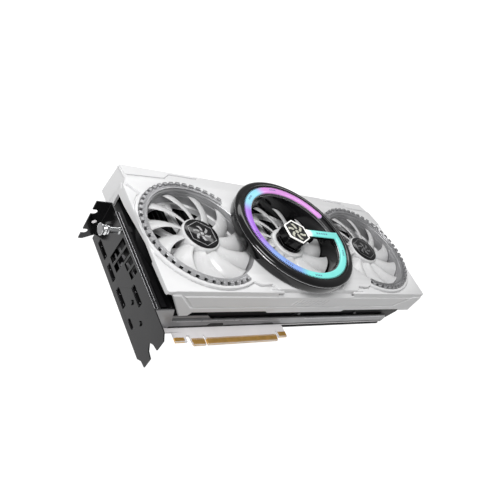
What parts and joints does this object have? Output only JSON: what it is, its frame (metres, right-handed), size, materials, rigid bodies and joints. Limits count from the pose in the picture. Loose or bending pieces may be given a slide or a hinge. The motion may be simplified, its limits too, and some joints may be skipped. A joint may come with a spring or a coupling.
{
  "type": "graphics card",
  "caption": "Thick graphics card with a white fan shroud, toothed silver fan rings, a raised black centre ring with a pastel light band, and a two-slot bracket.",
  "frame": {"origin": "middle of the footprint, on the plane of the backplate's outer face", "axes": "+X from the bracket to the tail, +Y from the edge connector to the power sockets, +Z from the backplate to the fans"},
  "size_m": [0.3271, 0.1548, 0.0599],
  "materials": {
    "white_shell": "white moulded plastic, satin gloss",
    "white_fan": "white glossy fan plastic",
    "silver_tooth": "satin silver plating",
    "silver_trim": "bright silver plating",
    "black_gloss": "piano black",
    "black_matte": "fine-grained black plastic",
    "light_band": "translucent light guide, lit in pastel colours",
    "white_light": "translucent light guide, lit white",
    "badge": "black gloss with a printed silver outline",
    "steel": "ground steel",
    "brass": "sintered brass",
    "copper": "copper winding and bare copper",
    "nickel": "nickel-plated copper",
    "fins": "dark anodised aluminium",
    "frame_grey": "sand-blasted grey aluminium",
    "board_white": "white solder mask on glass-epoxy board",
    "gold": "gold-plated contacts",
    "chip_black": "black epoxy package",
    "package_green": "green package substrate",
    "silicon": "polished silicon",
    "grey_ferrite": "pressed grey ferrite",
    "can_silver": "aluminium can",
    "pad": "soft thermal pad",
    "bracket_dark": "dark grey satin plated steel",
    "back_metal": "black anodised plate",
    "chrome_button": "polished chrome"
  },
  "bodies": {
    "card": {"backplate": "back_metal", "bios_switch": "black_matte", "bracket": "bracket_dark", "bracket_screws": "bracket_dark", "button_neck": "chrome_button", "button_switch": "black_matte", "capacitors": "can_silver", "centre_ring_base": "black_gloss", "centre_ring_lip": "silver_trim", "centre_ring_top": "black_gloss", "centre_ring_trim": "silver_trim", "chokes": "grey_ferrite", "circuit_board": "board_white", "cold_plate": "copper", "cooler_screws": "steel", "display_ports": "bracket_dark", "duct_rings": "silver_trim", "fan_bearing_centre": "brass", "fan_bearing_left": "brass", "fan_bearing_right": "brass", "fan_headers": "black_matte", "fan_mount_centre": "white_shell", "fan_mount_left": "white_shell", "fan_mount_right": "white_shell", "fan_stator_centre": "copper", "fan_stator_left": "copper", "fan_stator_right": "copper", "fin_stack": "fins", "gold_contacts": "gold", "gpu_die": "silicon", "gpu_package": "package_green", "hdmi_port": "bracket_dark", "heat_pipes": "nickel", "hexagon_badge": "badge", "hexagon_housing": "black_gloss", "hexagon_light": "white_light", "light_ring": "light_band", "lower_rail": "frame_grey", "memory_chips": "chip_black", "memory_pads": "pad", "power_sockets": "black_matte", "power_stages": "chip_black", "retention_cross": "steel", "shroud": "white_shell", "socket_pins": "gold", "toothed_ring_left": "silver_tooth", "toothed_ring_right": "silver_tooth", "upper_rail": "frame_grey", "usb_port": "bracket_dark"},
    "fan_left": {"fan_rotor_left": "white_fan", "hub_cap_left": "badge", "fan_shaft_left": "steel"},
    "fan_centre": {"fan_rotor_centre": "white_fan", "hub_cap_centre": "badge", "fan_shaft_centre": "steel"},
    "fan_right": {"fan_rotor_right": "white_fan", "hub_cap_right": "badge", "fan_shaft_right": "steel"},
    "button": {"push_button": "chrome_button"},
    "bios_toggle": {"bios_slider": "chip_black"}
  },
  "joints": [
    {"name": "fan_left_spin", "type": "hinge", "parent": "card", "child": "fan_left", "pos_m": [-0.0852, 0.0126, 0.0394], "axis": [0, 0, 1], "continuous": true},
    {"name": "fan_centre_spin", "type": "hinge", "parent": "card", "child": "fan_centre", "pos_m": [0.0075, 0.0126, 0.0394], "axis": [0, 0, 1], "continuous": true},
    {"name": "fan_right_spin", "type": "hinge", "parent": "card", "child": "fan_right", "pos_m": [0.1113, 0.0126, 0.0394], "axis": [0, 0, 1], "continuous": true},
    {"name": "button_press", "type": "slide", "parent": "card", "child": "button", "axis": [1, 0, 0], "range_m": [0, 0.002], "stiffness_N_per_m": 400, "springref_m": -0.002},
    {"name": "bios_select", "type": "slide", "parent": "card", "child": "bios_toggle", "axis": [1, 0, 0], "range_m": [0, 0.0024]}
  ]
}
